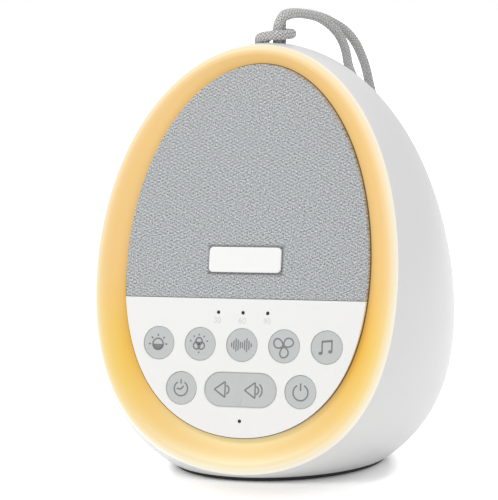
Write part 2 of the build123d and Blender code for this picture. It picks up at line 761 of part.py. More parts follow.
flange_rear = gasket_back + driver_flange_thickness
spider_seat = magnet_radius - 1.5
basket_rear = flange_rear + basket_depth
basket = turned([
    (gasket_outer, -gasket_back), (gasket_outer, -flange_rear), (gasket_inner + 0.2, -flange_rear),
    (spider_seat + basket_wall, -basket_rear + 3), (spider_seat + basket_wall, -basket_rear),
    (coil_radius + 1.2, -basket_rear), (coil_radius + 1.2, -basket_rear + basket_wall),
    (spider_seat, -basket_rear + basket_wall), (spider_seat, -basket_rear + 3.4),
    (gasket_inner - 0.9, -flange_rear), (gasket_inner - 0.9, -gasket_back)], driver_plane)
window = turned([(spider_seat - 1, -basket_rear + 4.5), (gasket_inner + 3, -basket_rear + 4.5),
                 (gasket_inner + 3, -flange_rear - 1.5), (spider_seat - 1, -flange_rear - 1.5)], driver_plane)
spokes = [extrude(driver_plane.offset(-reach / 2) * Rot(0, 0, angle) * Rectangle(reach, 6),
                  amount=reach / 2) for angle in (30, 90, 150)]
window = window - spokes
basket = basket - [window, *driver_screw_holes]
save("speaker_basket", basket)
save("driver_screws", *[screw(facing_back(plane.offset(-flange_rear)), flange_rear - seat + 1.8)
                        for plane in driver_screw_planes])

magnet_front = basket_rear
magnet = turned([(magnet_bore, -magnet_front - yoke_thickness),
                 (magnet_radius, -magnet_front - yoke_thickness),
                 (magnet_radius, -magnet_front - yoke_thickness - magnet_thickness),
                 (magnet_bore, -magnet_front - yoke_thickness - magnet_thickness)], driver_plane)
save("speaker_magnet", magnet)
top_plate = turned([(pole_radius + pole_gap, -magnet_front), (magnet_radius - 0.6, -magnet_front),
                    (magnet_radius - 0.6, -magnet_front - yoke_thickness),
                    (pole_radius + pole_gap, -magnet_front - yoke_thickness)], driver_plane)
save("top_plate", top_plate)
yoke_back = magnet_front + yoke_thickness + magnet_thickness
yoke = turned([(0, -magnet_front + 0.2), (pole_radius, -magnet_front + 0.2), (pole_radius, -yoke_back),
               (magnet_radius - 0.6, -yoke_back), (magnet_radius - 0.6, -yoke_back - yoke_thickness),
               (0, -yoke_back - yoke_thickness)], driver_plane)
save("pole_yoke", yoke)

surround_back = gasket_back - 0.05
cone_front = surround_back + surround_gap + 0.6
roll_middle = cone_radius + surround_width / 2
roll_outer = cone_radius + surround_width
surround = turned([(cone_radius - 1.6, -surround_back + 0.1), (cone_radius - 1.6, -surround_back - 0.3),
                   (cone_radius, -surround_back - 0.3), (roll_middle, -surround_back + surround_rise - 0.4),
                   (roll_outer, -surround_back), (gasket_inner - 0.1, -surround_back),
                   (gasket_inner - 0.1, -surround_back + 0.4), (roll_outer, -surround_back + 0.4),
                   (roll_middle, -surround_back + surround_rise), (cone_radius, -surround_back + 0.1)],
                  driver_plane)
save("speaker_surround", surround)

cone_back = cone_front + cone_depth
cone = turned([(cone_radius, -cone_front), (cone_radius - 1.8, -cone_front),
               (coil_radius, -cone_back + cone_wall), (coil_radius, -cone_back - cone_wall),
               (coil_radius + 0.6, -cone_back - cone_wall), (cone_radius - 1.4, -cone_front - cone_wall),
               (cone_radius, -cone_front - cone_wall)], driver_plane)
save("speaker_cone", cone)
cap_rim = coil_radius + 0.9
cap_curve = (cap_rim ** 2 + cap_rise ** 2) / (2 * cap_rise)
cap_plane = driver_plane.offset(-cone_back + cone_wall + 0.65)
cap_ball = cap_plane.offset(cap_rise - cap_curve) * (Sphere(cap_curve) - Sphere(cap_curve - cap_wall))
save("dust_cap", cap_ball & extrude(cap_plane * Circle(2 * cap_rim), amount=2 * cap_rise))
coil = turned([(coil_radius - coil_wall, -cone_back + 0.5), (coil_radius, -cone_back + 0.5),
               (coil_radius, -cone_back + 0.5 - coil_length),
               (coil_radius - coil_wall, -cone_back + 0.5 - coil_length)], driver_plane)
save("voice_coil", coil)
spider_level = cone_back + 2.2
spider = turned([(coil_radius + 0.35, -spider_level), (spider_seat - 0.05, -spider_level),
                 (spider_seat - 0.05, -spider_level - 0.4), (coil_radius + 0.35, -spider_level - 0.4)],
                driver_plane)
save("speaker_spider", spider)

# ---------------------------------------------------------------- charging board
charge_board_base = Plane((0, charge_board_front, board_under), x_dir=(1, 0, 0), z_dir=(0, 0, 1))
charge_board = extrude(charge_board_base * Rectangle(charge_board_width, charge_board_depth,
                                                     align=(Align.CENTER, Align.MIN)), amount=board_thickness)
charge_board = charge_board - [extrude(Plane((x, y, board_under)) * Circle(screw_radius + screw_clearance),
                                       amount=board_thickness) for x, y in charge_posts]
save("charge_board", charge_board)
save("charge_screws", *[screw(Plane((x, y, board_under + board_thickness)), board_thickness + 3.5)
                        for x, y in charge_posts])
socket_plane = Plane((0, socket_mouth - socket_depth, socket_level), x_dir=(1, 0, 0), z_dir=(0, 1, 0))
socket_form = RectangleRounded(socket_width, socket_height, socket_height / 2 - 0.05)
socket_bore = RectangleRounded(socket_width - 2 * socket_wall, socket_height - 2 * socket_wall,
                               socket_height / 2 - socket_wall - 0.05)
socket = extrude(socket_plane * socket_form, amount=socket_depth)
socket -= extrude(socket_plane.offset(1.0) * socket_bore, amount=socket_depth)
socket += extrude(socket_plane * Rectangle(0.75 * socket_width, socket_tongue), amount=socket_depth - 0.8)
save("charge_socket", socket)

# ---------------------------------------------------------------- strap
save("strap_pin", extrude(pin_bar * Circle(pin_radius), amount=pin_length))



def tube_radii(points):
    """Largest arc at each corner of a route: 0.45 of the shorter run over tan of half the turn."""
    radii = []
    for before, here, after in zip(points, points[1:], points[2:]):
        first, second = Vector(*here) - Vector(*before), Vector(*after) - Vector(*here)
        turn = math.radians(first.get_angle(second))
        radii.append(0.45 * min(first.length, second.length) / math.tan(turn / 2))
    return radii


def tube(points):
    """Round cord along a route of points, and the route itself."""
    route = FilletPolyline(*points, radius=tube_radii(points))
    return sweep(Plane(origin=route @ 0, z_dir=route % 0) * Circle(strap_radius), path=route), route


# Lark's head: both strands pass under the pin, and the bight wraps round them above the shell
strand_x = pin_radius + strap_radius + pin_gap
under = pin_z - strand_x
near, far = strap_setback - strand_pitch / 2, strap_setback + strand_pitch / 2
knot_front = [(strand_x, near, strand_end), (strand_x, near, under), (-strand_x, near, under),
              (-strand_x, near, 147.6), (-2.2, near - 3.15, 149.8), (3.3, near - 4.1, 150.3),
              (strand_x + 3.8, near - 2.35, 150.2)]
knot_back = [(x, 2 * strap_setback - y, z) for x, y, z in reversed(knot_front)]
knot, knot_line = tube(knot_front + knot_back)
save("strap_knot", knot)

strap_route = [
    (3.5, 3.15, 151.0), (3.5, 3.15, 154.6), (6.1, 5.6, 157.0), (8.9, 12.9, 157.2), (14.4, 21.4, 154.6),
    (18.6, 30.0, 146.2), (19.0, 32.8, 132.8), (29.5, 37.5, 120.0), (34.5, 41.5, 108.0), (38.5, 44.5, 96.0),
    (41.0, 47.5, 82.0), (33.0, 57.0, 75.5), (21.0, 62.5, 83.0), (21.5, 59.5, 99.0), (23.0, 52.0, 114.0),
    (22.7, 43.5, 129.0), (21.2, 43.0, 138.0), (18.3, 37.3, 148.5), (12.3, 26.4, 154.9), (5.9, 17.2, 157.2),
    (2.9, 10.9, 157.0), (3.4, 7.2, 154.8), (3.5, 6.85, 151.0)]
strap, route = tube(strap_route)
radii = tube_radii(strap_route)
save("strap_cord", strap)
section_volume = math.pi * strap_radius ** 2 * route.length
print("strap radii", [round(r, 1) for r in radii])
print("strap length", round(route.length, 1), "volume", round(strap.volume, 1), "section x length",
      round(section_volume, 1))
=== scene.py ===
"""White noise sound machine: egg-shaped shell, glowing ring, cloth and key front, braided strap."""
import math

import bpy
import numpy as np
from mathutils import Matrix, Vector


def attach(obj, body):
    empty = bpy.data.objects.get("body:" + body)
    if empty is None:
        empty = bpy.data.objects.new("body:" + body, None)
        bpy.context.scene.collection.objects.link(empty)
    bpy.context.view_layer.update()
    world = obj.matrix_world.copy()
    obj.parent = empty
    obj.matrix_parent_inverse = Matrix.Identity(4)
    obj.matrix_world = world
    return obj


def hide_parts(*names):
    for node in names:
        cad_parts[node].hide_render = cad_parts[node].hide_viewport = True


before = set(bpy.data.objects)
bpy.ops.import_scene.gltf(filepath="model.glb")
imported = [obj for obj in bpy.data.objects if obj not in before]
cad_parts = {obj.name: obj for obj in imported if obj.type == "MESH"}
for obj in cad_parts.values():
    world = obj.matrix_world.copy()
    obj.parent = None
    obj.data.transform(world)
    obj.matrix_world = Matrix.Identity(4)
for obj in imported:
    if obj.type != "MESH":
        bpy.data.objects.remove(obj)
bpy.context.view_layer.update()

scene = bpy.context.scene
scene.view_settings.view_transform = "Standard"

# ---------------------------------------------------------------- camera
# A long lens a little under a metre from the front, turned about 22 degrees to the
# machine's left and looking down by under 8 degrees, so the right flank shows.
yaw, pitch, roll = math.radians(22.1256), math.radians(7.6284), math.radians(-2.1872)
ahead = np.array([-math.sin(yaw) * math.cos(pitch), math.cos(yaw) * math.cos(pitch),
                  -math.sin(pitch)])
level = np.array([math.cos(yaw), math.sin(yaw), 0.0])
raised = np.cross(level, ahead)
right = level * math.cos(roll) + raised * math.sin(roll)
upward = raised * math.cos(roll) - level * math.sin(roll)
eye = (0.351542, -0.887005, 0.202839)
lens = bpy.data.cameras.new("camera")
lens.sensor_width = 36.0
lens.lens = 196.85
camera = bpy.data.objects.new("camera", lens)
turn_rows = np.stack([right, upward, -ahead], 1)
camera.matrix_world = Matrix([[*row, place] for row, place in zip(turn_rows, eye)] + [[0, 0, 0, 1]])
scene.collection.objects.link(camera)
scene.camera = camera


# ---------------------------------------------------------------- carrying strap
# One braided polyester cord of 3.5 mm: its middle is a lark's head round the pin in the
# crown, and its free loop arches up from the knot and hangs down behind the shell.
def along(points, spacing):
    """Evenly spaced points on the smooth curve that has the route's points as control points."""
    curve = bpy.data.curves.new("route", "CURVE")
    curve.dimensions = "3D"
    spline = curve.splines.new("NURBS")
    spline.points.add(len(points) - 1)
    for knob, place in zip(spline.points, points):
        knob.co = (*place, 1.0)
    spline.order_u = 3
    spline.use_endpoint_u = True
    spline.resolution_u = 24
    carrier = bpy.data.objects.new("route", curve)
    line = bpy.data.meshes.new_from_object(carrier)
    places = np.array([v.co for v in line.vertices])
    bpy.data.objects.remove(carrier)
    bpy.data.meshes.remove(line)
    run = np.concatenate([[0], np.cumsum(np.linalg.norm(np.diff(places, axis=0), axis=1))])
    moved_on = np.concatenate([[True], np.diff(run) > 1e-9])
    places, run = places[moved_on], run[moved_on]
    steps = np.linspace(0, run[-1], int(run[-1] / spacing) + 1)
    return np.stack([np.interp(steps, run, places[:, i]) for i in range(3)], 1), steps


def side_vectors(places):
    """Two vectors square to the line at each place, carried along it without twisting."""
    ahead_of = np.gradient(places, axis=0)
    ahead_of /= np.linalg.norm(ahead_of, axis=1)[:, None]
    first = np.zeros_like(places)
    side = np.cross(ahead_of[0], [0.3, 0.2, 0.1])
    for i, way in enumerate(ahead_of):
        side = side - way * side.dot(way)
        side = side / np.linalg.norm(side)
        first[i] = side
    return ahead_of, first, np.cross(ahead_of, first)


def solid(name, corners, faces, uv=None, smooth=True):
    """A mesh object from corners, faces and a uv pair for each corner."""
    mesh = bpy.data.meshes.new(name)
    mesh.from_pydata(corners.tolist(), [], [list(face) for face in faces])
    mesh.polygons.foreach_set("use_smooth", np.full(len(mesh.polygons), smooth))
    if uv is not None:
        layer = mesh.uv_layers.new(name="UVMap")
        loops = np.zeros(len(mesh.loops), int)
        mesh.loops.foreach_get("vertex_index", loops)
        layer.data.foreach_set("uv", uv[loops].ravel())
    mesh.update()
    piece = bpy.data.objects.new(name, mesh)
    scene.collection.objects.link(piece)
    return piece


def skin(shape, closed=False, first=0):
    """Numbers of the corners in a grid of rows x corners round each row, counted from first, and the
    quads between the rows; closed joins the last row to the first."""
    grid = first + np.arange(math.prod(shape)).reshape(shape)
    here, after = grid[..., :-1, :], grid[..., 1:, :]
    if closed:
        here, after = grid, np.roll(grid, -1, axis=-2)
    quads = np.stack([here, np.roll(here, -1, axis=-1), np.roll(after, -1, axis=-1), after], -1)
    return grid, quads.reshape(-1, 4)


strap_radius = 0.00175
braid_strands = 8
braid_pitch = 0.0105
braid_rise = 0.00016
braid_half_width = 0.00052
braid_half_height = 0.00022
strand_corners = 6
core_corners = 12


def braid(name, places, steps):
    """Braid on a plain core: two sets of flat strands wind opposite ways, and the distance from the
    middle line goes up and down as the cosine of strands * turn, against each other on the two sets, so
    that each strand passes over and under in turn."""
    ahead_of, first, second = side_vectors(places)
    turn = math.tau * steps / braid_pitch
    middle = strap_radius - braid_half_height - braid_rise
    start = math.tau * np.arange(braid_strands)[:, None] / braid_strands
    corner = math.tau * np.arange(strand_corners) / strand_corners
    parts, faces, uvs, total = [], [], [], 0
    for way in (1, -1):
        angle = start + way * turn[None, :]
        reach = middle + way * braid_rise * np.cos(braid_strands * turn)[None, :]
        outward = np.cos(angle)[..., None] * first[None] + np.sin(angle)[..., None] * second[None]
        centre = places[None] + reach[..., None] * outward
        run = np.gradient(centre, axis=1)
        run /= np.linalg.norm(run, axis=2)[..., None]
        across = np.cross(outward, run)
        rings = (centre[:, :, None]
                 + np.cos(corner)[None, None, :, None] * braid_half_width * across[:, :, None]
                 + np.sin(corner)[None, None, :, None] * braid_half_height * outward[:, :, None])
        grid, sides = skin(rings.shape[:3], first=total)
        caps = np.concatenate([grid[:, 0, ::-1], grid[:, -1]])
        faces += [*sides, *caps[:, [0, 1, 2, 3]], *caps[:, [0, 3, 4, 5]]]
        parts.append(rings.reshape(-1, 3))
        uv = np.broadcast_arrays(steps[None, :, None] / strap_radius,
                                 corner[None, None, :] / math.tau + np.arange(braid_strands)[:, None, None])
        uvs.append(np.stack(uv, -1).reshape(-1, 2))
        total += grid.size
    corner = math.tau * np.arange(core_corners) / core_corners
    core = strap_radius - 2 * braid_half_height - braid_rise
    ring = places[:, None] + core * (np.cos(corner)[None, :, None] * first[:, None]
                                     + np.sin(corner)[None, :, None] * second[:, None])
    grid, sides = skin(ring.shape[:2], first=total)
    caps = [end[[0, i, i + 1]] for end in (grid[0, ::-1], grid[-1]) for i in range(1, core_corners - 1)]
    parts.append(ring.reshape(-1, 3))
    uvs.append(np.zeros((grid.size, 2)))
    return solid(name, np.concatenate(parts), [*faces, *sides, *caps], np.concatenate(uvs))


def linear(red, green, blue):
    """Linear colour from red, green and blue of 0 to 255."""
    share = np.array([red, green, blue]) / 255
    return (*np.where(share > 0.04045, ((share + 0.055) / 1.055) ** 2.4, share / 12.92), 1.0)


def node(tree, kind, links=None, **values):
    """A shader node with its settings, its input values and its links."""
    made = tree.nodes.new(kind)
    for key, value in values.items():
        if hasattr(made, key):
            setattr(made, key, value)
        else:
            made.inputs[key.replace("_", " ")].default_value = value
    for key, source in (links or {}).items():
        tree.links.new(source, made.inputs[key])
    return made


def reckon(tree, operation, *terms):
    """The result of a math node on plain numbers and on other nodes' results."""
    made = tree.nodes.new("ShaderNodeMath")
    made.operation = operation
    for entry, term in zip(made.inputs, terms):
        if isinstance(term, (int, float)):
            entry.default_value = term
        else:
            tree.links.new(term, entry)
    return made.outputs["Value"]


def ramp(tree, source, stops, interpolation="LINEAR"):
    """The colour that a value gets from a ramp with (place, colour) stops."""
    made = node(tree, "ShaderNodeValToRGB", {"Fac": source})
    made.color_ramp.interpolation = interpolation
    for spot, _ in stops[1:-1]:
        made.color_ramp.elements.new(spot)
    for element, (spot, colour) in zip(made.color_ramp.elements, stops):
        element.position, element.color = spot, colour
    return made.outputs["Color"]


def finish(name, colour, rough, **surface):
    """A material with one Principled shader, returned with its tree and shader."""
    material = bpy.data.materials.new(name)
    material.use_nodes = True
    shader = material.node_tree.nodes["Principled BSDF"]
    shader.inputs["Base Color"].default_value = colour
    shader.inputs["Roughness"].default_value = rough
    for key, value in surface.items():
        shader.inputs[key.replace("_", " ")].default_value = value
    return material, material.node_tree, shader


# Control points of the cord's middle line, in millimetres
strap_route = [
    (3.5, 3.15, 151.0), (3.5, 3.15, 154.6), (6.1, 5.6, 157.0), (8.9, 12.9, 157.2), (14.4, 21.4, 154.6),
    (18.6, 30.0, 146.2), (19.0, 32.8, 132.8), (29.5, 37.5, 120.0), (34.5, 41.5, 108.0), (38.5, 44.5, 96.0),
    (41.0, 47.5, 82.0), (33.0, 57.0, 75.5), (21.0, 62.5, 83.0), (21.5, 59.5, 99.0), (23.0, 52.0, 114.0),
    (22.7, 43.5, 129.0), (21.2, 43.0, 138.0), (18.3, 37.3, 148.5), (12.3, 26.4, 154.9), (5.9, 17.2, 157.2),
    (2.9, 10.9, 157.0), (3.4, 7.2, 154.8), (3.5, 6.85, 151.0)]
knot_route = [
    (3.5, 3.15, 151.0), (3.5, 3.15, 140.9), (-3.5, 3.15, 140.9), (-3.5, 3.15, 147.6), (-2.2, 0.0, 149.8),
    (3.3, -0.95, 150.3), (7.3, 0.8, 150.2), (7.3, 9.2, 150.2), (3.3, 10.95, 150.3), (-2.2, 10.0, 149.8),
    (-3.5, 6.85, 147.6), (-3.5, 6.85, 140.9), (3.5, 6.85, 140.9), (3.5, 6.85, 151.0)]

cord_finish, tree, shader = finish("braided polyester", linear(196, 195, 194), 0.75, Sheen_Weight=0.25)
yarn = node(tree, "ShaderNodeTexCoord")
parted = node(tree, "ShaderNodeSeparateXYZ", {"Vector": yarn.outputs["UV"]})
# Painted light and shade: each strand is painted lighter along its top and darker at its edges and
# underside, as the braid's crevices would be shaded, then mottled by noise
crown = reckon(tree, "SINE", reckon(tree, "MULTIPLY", parted.outputs["Y"], math.tau))
threads = node(tree, "ShaderNodeTexNoise", {"Vector": yarn.outputs["UV"]}, Scale=7.0, Detail=3.0)
mottle_and_strand_shading = reckon(tree, "MULTIPLY", crown, threads.outputs["Fac"])
tone = ramp(tree, mottle_and_strand_shading, [(0.12, linear(116, 114, 113)), (0.55, linear(232, 231, 231))])
tree.links.new(tone, shader.inputs["Base Color"])
twist = node(tree, "ShaderNodeTexWave", {"Vector": yarn.outputs["UV"]}, Scale=6.0, Distortion=2.0)
fuzz = node(tree, "ShaderNodeBump", {"Height": twist.outputs["Fac"]}, Strength=0.35, Distance=0.0001)
tree.links.new(fuzz.outputs["Normal"], shader.inputs["Normal"])

strap_spacing, knot_spacing = 0.00036, 0.0003
strap_places, strap_steps = along(np.array(strap_route) / 1000, strap_spacing)
knot_places, knot_steps = along(np.array(knot_route) / 1000, knot_spacing)
strap = braid("strap", strap_places, strap_steps)
knot = braid("lark_head_knot", knot_places, knot_steps)
for piece, cad in ((strap, "strap_cord"), (knot, "strap_knot")):
    piece.data.materials.append(cord_finish)
    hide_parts(cad)
    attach(piece, "housing")

# ---------------------------------------------------------------- rear shell
# One egg-shaped moulding in satin white plastic, open at the front and at the base,
# with a cup for the strap in its crown and a port for the charging plug low at the back.
def moulded(name, colour, rough, grain=0.00008, size=2600.0, drift=0.015, **surface):
    """Moulded plastic: an even colour that drifts a little, over a fine sparked grain."""
    material, tree, shader = finish(name, colour, rough, **surface)
    place = node(tree, "ShaderNodeTexCoord")
    cloud = node(tree, "ShaderNodeTexNoise", {"Vector": place.outputs["Object"]}, Scale=28.0, Detail=2.0)
    tint = node(tree, "ShaderNodeHueSaturation", Color=colour)
    lift = node(tree, "ShaderNodeMapRange", {"Value": cloud.outputs["Fac"]}, To_Min=1 - drift,
                To_Max=1 + drift)
    tree.links.new(lift.outputs["Result"], tint.inputs["Value"])
    tree.links.new(tint.outputs["Color"], shader.inputs["Base Color"])
    speck = node(tree, "ShaderNodeTexNoise", {"Vector": place.outputs["Object"]}, Scale=size, Detail=1.0)
    bump = node(tree, "ShaderNodeBump", {"Height": speck.outputs["Fac"]}, Strength=0.25, Distance=grain)
    tree.links.new(bump.outputs["Normal"], shader.inputs["Normal"])
    return material


def dress(material, *names):
    """Give CAD nodes a material in place of their own."""
    for name in names:
        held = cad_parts[name]
        for holder in held if isinstance(held, list) else [held]:
            for slot in holder.material_slots:
                slot.material = material


dress(moulded("satin white plastic", linear(241, 241, 241), 0.42, Coat_Weight=0.12, Coat_Roughness=0.35),
      "rear_shell")

# ---------------------------------------------------------------- light ring
# A frosted moulding that the lamps behind it light up amber: a dished band that rises
# from the front plate's foot to a rounded lip, which is flush with the shell outside,
# and a skirt that slides into the shell.
egg_radius, egg_half_height, egg_middle = 0.0624, 0.0781, 0.0696
egg_taper, egg_fullness, egg_tip = 0.148, 0.135, 0.057
face_radius, face_lean, face_front, face_height = 0.746, math.radians(13.84), -0.0258, 0.075
face_middle_y = face_front + face_radius * math.cos(face_lean)
face_middle_z = face_height - face_radius * math.sin(face_lean)
plate_half_width, plate_half_height, plate_middle = 0.0448, 0.063, 0.0778
plate_taper, plate_fullness, plate_tip = 0.087, 0.078, 0.045


def egg_reach(z):
    """Radius of the shell at a height: its half width times root(1 - s^2) times a cubic in s,
    where s runs from -1 at the foot to 1 at the crown."""
    s = (z - egg_middle) / egg_half_height
    return egg_radius * np.sqrt(np.clip(1 - s * s, 0, None)) * (
        1 - egg_taper * s + egg_fullness * s ** 2 - egg_tip * s ** 3)


def face_y(z, offset=0.0):
    """Depth of the face at a height, on an arc round a point far behind; an offset is into the body."""
    return face_middle_y - np.sqrt((face_radius - offset) ** 2 - (z - face_middle_z) ** 2)


def rim_reach(bearing, offset):
    """Distance from the plate's middle at which the shell meets the face at an offset, by halving."""
    low, high = np.full(bearing.shape, 0.001), np.full(bearing.shape, 0.12)
    for _ in range(40):
        middle = (low + high) / 2
        z = plate_middle + middle * np.sin(bearing)
        inside = np.hypot(middle * np.cos(bearing), face_y(z, offset)) < egg_reach(z)
        low, high = np.where(inside, middle, low), np.where(inside, high, middle)
    return low


def plate_outline(turn, inset):
    """The plate's egg outline from its middle, as x and z: half width * cos(turn) times a cubic in s,
    and half height * s, where s is sin(turn)."""
    s = np.sin(turn)
    widening = 1 - plate_taper * s + plate_fullness * s ** 2 - plate_tip * s ** 3
    return (plate_half_width - inset) * np.cos(turn) * widening, (plate_half_height - inset) * s


def plate_reach(bearing, inset=0.0):
    """Distance from the plate's middle to its outline."""
    x, z = plate_outline(np.linspace(0, math.tau, 4000), inset)
    outline_bearing = np.unwrap(np.arctan2(z, x))
    return np.interp(np.mod(bearing, math.tau), outline_bearing, np.hypot(x, z), period=math.tau)


def eased(before, corner, after, reach, count):
    """A section's corner rounded by a quadratic curve that starts and ends a reach away from it."""
    first = corner + (before - corner) * (reach / np.linalg.norm(before - corner, axis=-1))[..., None]
    last = corner + (after - corner) * (reach / np.linalg.norm(after - corner, axis=-1))[..., None]
    t = np.linspace(0, 1, count)[:, None, None]
    return (1 - t) ** 2 * first + 2 * t * (1 - t) * corner + t ** 2 * last


def on_face(distance, bearing, offset):
    """Points at a distance and bearing from the plate's middle, an offset behind the face."""
    z = plate_middle + distance * np.sin(bearing)
    return np.stack([distance * np.cos(bearing), face_y(z, offset), z], -1)


bearing = np.linspace(0, math.tau, 360, endpoint=False)
ring_foot, ring_back, ring_rise, ring_seam = 0.0026, 0.0046, -0.0028, -0.0008
lip_width, lip_inner_round, lip_outer_round, foot_round = 0.0024, 0.0007, 0.0011, 0.0004
seat_width, flank_top, flank_steps, band_steps = 0.0032, -0.0015, 4, 12
skirt_inset, skirt_wall, skirt_end, skirt_root = 0.00235, 0.0014, 0.0037, 0.0012


def section_point(distance, offset):
    """One point of the ring's section for every bearing, as distance and offset."""
    return np.stack(np.broadcast_arrays(distance, np.full(bearing.shape, offset)), -1)


# The section goes from the seat up the band to the lip, down the flank and back round the skirt
foot = section_point(plate_reach(bearing), ring_foot)
inner = section_point(plate_reach(bearing, seat_width), ring_foot)
lip_in = section_point(rim_reach(bearing, ring_rise) - lip_width, ring_rise)
lip_out = section_point(rim_reach(bearing, ring_rise), ring_rise)
flank = np.stack([section_point(rim_reach(bearing, offset), offset)
                  for offset in np.linspace(flank_top, ring_seam, flank_steps)])
foot_bend = eased(inner, foot, lip_in, foot_round, 4)
lip_bend = eased(foot, lip_in, lip_out, lip_inner_round, 6)
rim_bend = eased(lip_in, lip_out, flank[0], lip_outer_round, 8)
share = np.linspace(0, 1, band_steps + 2)[1:-1, None, None]
band = foot_bend[-1] * (1 - share) + lip_bend[0] * share
skirt_reach = rim_reach(bearing, ring_seam) - skirt_inset
back = np.stack([section_point(skirt_reach, ring_seam), section_point(skirt_reach, skirt_end),
                 section_point(skirt_reach - skirt_wall, skirt_end),
                 section_point(skirt_reach - skirt_wall, ring_seam + skirt_root),
                 section_point(plate_reach(bearing) + skirt_root, ring_back),
                 section_point(plate_reach(bearing, seat_width), ring_back)])
section = np.concatenate([inner[None], foot_bend, band, lip_bend, rim_bend, flank, back])
# Each row's place across the ring, which its colour follows: 0 at the seat, 0.68 where the lip
# starts and 1 at the shell; the rows that nobody sees come last
across = np.concatenate([[0, 0, 0, 0.01, 0.02], 0.02 + 0.66 * share.ravel(), np.linspace(0.68, 0.74, 6),
                         np.linspace(0.8, 0.93, 8), np.linspace(0.95, 1, flank_steps),
                         [0.9, 0.5, 0.5, 0.5, 0, 0]])
grid, quads = skin(section.shape[:2], closed=True)
light_ring = solid("glowing_ring", on_face(section[..., 0], bearing, section[..., 1]).reshape(-1, 3),
                   quads[:, [0, 3, 2, 1]])
# Degrees by which each bearing is turned away from straight down
turned_down = np.degrees(np.abs((bearing - 1.5 * math.pi + math.pi) % math.tau - math.pi))
for name, share in (("across", across[:, None]), ("low", np.exp(-((turned_down - 50) / 24) ** 2)),
                    ("under", np.exp(-(turned_down / 30) ** 2))):
    layer = light_ring.data.attributes.new(name, "FLOAT", "POINT")
    layer.data.foreach_set("value", np.broadcast_to(share, grid.shape).ravel().astype(np.float32))

frosted, tree, shader = finish("frosted diffuser", linear(246, 206, 132), 0.45, Coat_Weight=0.15,
                               Coat_Roughness=0.3, Emission_Strength=0.7)
reading = node(tree, "ShaderNodeAttribute", attribute_name="across")


def glow(*stops):
    """Colour across the ring, from its foot at 0 to the shell at 1."""
    return ramp(tree, reading.outputs["Fac"], [(place, linear(*tint)) for place, tint in stops], "B_SPLINE")


# Amber all round, deeper in the band where it turns down, and paler along the very bottom, where the band's
# foot is painted dark: painted shade for the joint under the plate
colour = glow((0.0, (240, 202, 136)), (0.08, (244, 203, 131)), (0.55, (245, 203, 130)),
              (0.68, (246, 206, 140)), (0.76, (247, 214, 156)), (0.84, (250, 229, 186)),
              (0.93, (251, 242, 218)), (1.0, (252, 248, 236)))
low_glow = glow((0.0, (236, 182, 72)), (0.2, (243, 191, 76)), (0.42, (244, 201, 90)),
                (0.62, (245, 208, 110)), (0.74, (246, 213, 130)), (0.86, (250, 232, 186)),
                (1.0, (252, 248, 236)))
under_glow_and_joint_shade = glow((0.0, (112, 100, 78)), (0.03, (240, 224, 178)), (0.12, (248, 228, 162)),
                  (0.34, (238, 202, 126)), (0.52, (240, 210, 140)), (0.68, (246, 228, 176)),
                  (0.86, (251, 243, 218)), (1.0, (253, 251, 244)))
# A mix node takes its two colours at inputs 6 and 7 and gives their mix at output 2
for weight, other in (("low", low_glow), ("under", under_glow_and_joint_shade)):
    share = node(tree, "ShaderNodeAttribute", attribute_name=weight)
    blend = node(tree, "ShaderNodeMix", {"Factor": share.outputs["Fac"], 6: colour, 7: other},
                 data_type="RGBA")
    colour = blend.outputs[2]
place = node(tree, "ShaderNodeTexCoord")
frosting = node(tree, "ShaderNodeTexNoise", {"Vector": place.outputs["Object"]}, Scale=1800.0, Detail=2.0)
bump = node(tree, "ShaderNodeBump", {"Height": frosting.outputs["Fac"]}, Strength=0.2, Distance=0.00006)
tree.links.new(bump.outputs["Normal"], shader.inputs["Normal"])
tree.links.new(colour, shader.inputs["Emission Color"])
dimmed = node(tree, "ShaderNodeHueSaturation", {"Color": colour}, Value=0.3)
tree.links.new(dimmed.outputs["Color"], shader.inputs["Base Color"])
light_ring.data.materials.append(frosted)
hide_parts("light_ring")
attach(light_ring, "housing")

# ---------------------------------------------------------------- joint shade strip
# A thin dark band round the edge of the front plate, a little below its face:
# painted shade, a strip that stands for the shadow in the joint between plate and
# ring. It comes nearer the face and out over the edge at the bottom and far up the left side.
shade_strip_deep, shade_strip_high, shade_strip_back, shade_strip_width, shade_strip_bulge = 0.0018, 0.0001, 0.0025, 0.00019, 0.0001
strip_raised = np.where(np.cos(bearing) > 0, np.exp(-(turned_down / 50) ** 2), np.exp(-(turned_down / 95) ** 4))
shade_strip_front = shade_strip_deep - (shade_strip_deep - shade_strip_high) * strip_raised
plate_edge, shade_strip_inside = plate_reach(bearing), plate_reach(bearing, shade_strip_width)
rows = [on_face(distance, bearing, offset) for distance, offset in (
    (shade_strip_inside, shade_strip_front), (plate_edge + shade_strip_bulge * strip_raised, shade_strip_front),
    (plate_edge, shade_strip_back), (shade_strip_inside, shade_strip_back))]
grid, quads = skin((4, len(bearing)), closed=True)
shade_strip = solid("joint_shade_strip", np.concatenate(rows), quads[:, [0, 3, 2, 1]], smooth=False)
strip_finish = moulded("painted joint shade", linear(130, 108, 74), 0.9, grain=0.0001, size=1500.0, drift=0.1)
shade_strip.data.materials.append(strip_finish)
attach(shade_strip, "housing")

# ---------------------------------------------------------------- speaker cloth
# Grey melange knit stretched over the upper front and folded round the carrier's edges.
# Its blank is the half egg of the front and a hem all round.
cloth_gap, cloth_thickness, cloth_foot, cloth_hem = 0.0002, 0.0005, 0.06185, 0.0024
cloth_middle = np.array([0.0, 0.098])
outline_x, outline_z = plate_outline(np.linspace(0, math.tau, 2400, endpoint=False), cloth_gap)
outline = np.stack([outline_x, plate_middle + outline_z], -1)
